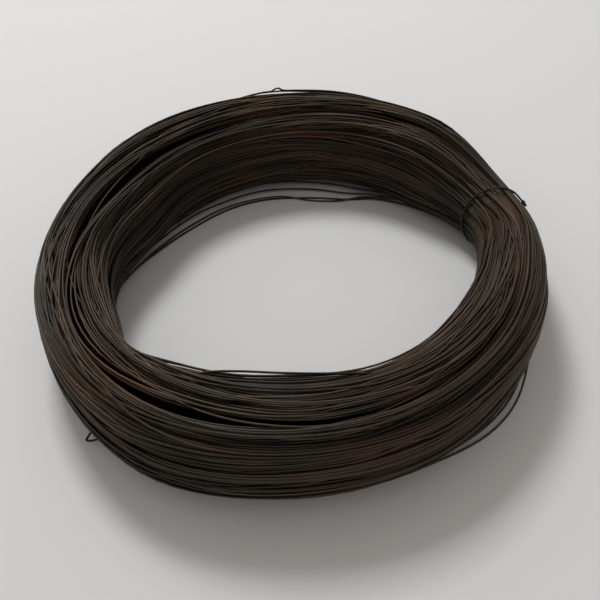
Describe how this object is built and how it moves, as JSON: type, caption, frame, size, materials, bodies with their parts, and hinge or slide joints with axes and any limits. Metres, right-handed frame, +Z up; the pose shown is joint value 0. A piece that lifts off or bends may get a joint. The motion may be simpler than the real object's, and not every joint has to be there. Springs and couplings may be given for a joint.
{
  "type": "coil of annealed wire",
  "caption": "Flat-lying ring-shaped coil of thin dark annealed steel wire in many loose turns, drawn in at one place by a wire tie.",
  "frame": {"origin": "on the floor under the middle of the coil's eye", "axes": "+Z up along the coil's axis, +X to the right as the coil is seen from the front, +Y away from the front; the tie is 20 degrees from +X towards +Y"},
  "size_m": [0.2998, 0.3, 0.064],
  "materials": {
    "annealed_wire": "dark brown-black annealing scale, slightly satin, with thin brown rust",
    "tie": "dark brown-black annealing scale, slightly satin"
  },
  "bodies": {
    "root": {"wire_coil": "annealed_wire", "tie_wire": "tie"}
  },
  "joints": []
}
